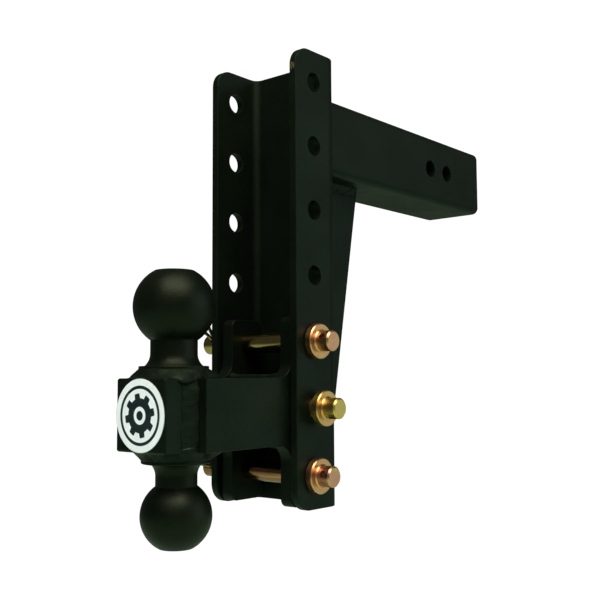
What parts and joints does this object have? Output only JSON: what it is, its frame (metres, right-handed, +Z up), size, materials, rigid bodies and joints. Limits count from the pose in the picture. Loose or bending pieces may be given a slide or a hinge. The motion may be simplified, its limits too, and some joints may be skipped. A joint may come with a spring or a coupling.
{
  "type": "adjustable trailer hitch with dual ball",
  "caption": "Adjustable-height trailer hitch: square shank, gusset and hole-row channel, with a pinned ball mount carrying a large upper and a smaller lower tow ball.",
  "frame": {"origin": "on the shank's centreline, on the axis of the front receiver cross-pin hole", "axes": "+X across the channel to the side of the pin collars, +Y along the shank into the receiver, +Z up; the balls are towards -Y"},
  "size_m": [0.1397, 0.4214, 0.3747],
  "materials": {
    "black_coat": "semi-matte black powder coat",
    "black_weld": "black powder coat over weld beads",
    "ball_black": "satin black on the tow balls",
    "yellow_zinc": "yellow chromated zinc, slightly iridescent",
    "clip_steel": "yellow zinc spring wire",
    "badge_white": "white vinyl label, grey rim"
  },
  "bodies": {
    "hitch": {"hitch_channel": "black_coat", "shank_bar": "black_coat", "gusset_plate": "black_coat", "ball_bar": "black_coat", "side_plate_left": "black_coat", "side_plate_right": "black_coat", "shank_weld": "black_weld", "gusset_weld_left": "black_weld", "gusset_weld_right": "black_weld", "plate_weld_left": "black_weld", "plate_weld_right": "black_weld", "seam_weld_upper": "black_weld", "seam_weld_lower": "black_weld", "upper_ball_weld": "black_weld", "lower_ball_weld": "black_weld", "upper_ball": "ball_black", "lower_ball": "ball_black", "face_badge": "badge_white"},
    "upper_pin_set": {"pin_upper": "yellow_zinc", "collar_upper": "yellow_zinc", "clip_upper": "clip_steel"},
    "middle_pin_set": {"pin_middle": "yellow_zinc", "collar_middle": "yellow_zinc"},
    "lower_pin_set": {"pin_lower": "yellow_zinc", "collar_lower": "yellow_zinc", "clip_lower": "clip_steel"}
  },
  "joints": [
    {"name": "upper_pin_slide", "type": "slide", "parent": "hitch", "child": "upper_pin_set", "axis": [1, 0, 0], "range_m": [0, 0.013]},
    {"name": "middle_pin_slide", "type": "slide", "parent": "hitch", "child": "middle_pin_set", "axis": [1, 0, 0], "range_m": [-0.0057, 0.112]},
    {"name": "lower_pin_slide", "type": "slide", "parent": "hitch", "child": "lower_pin_set", "axis": [1, 0, 0], "range_m": [0, 0.013]}
  ]
}
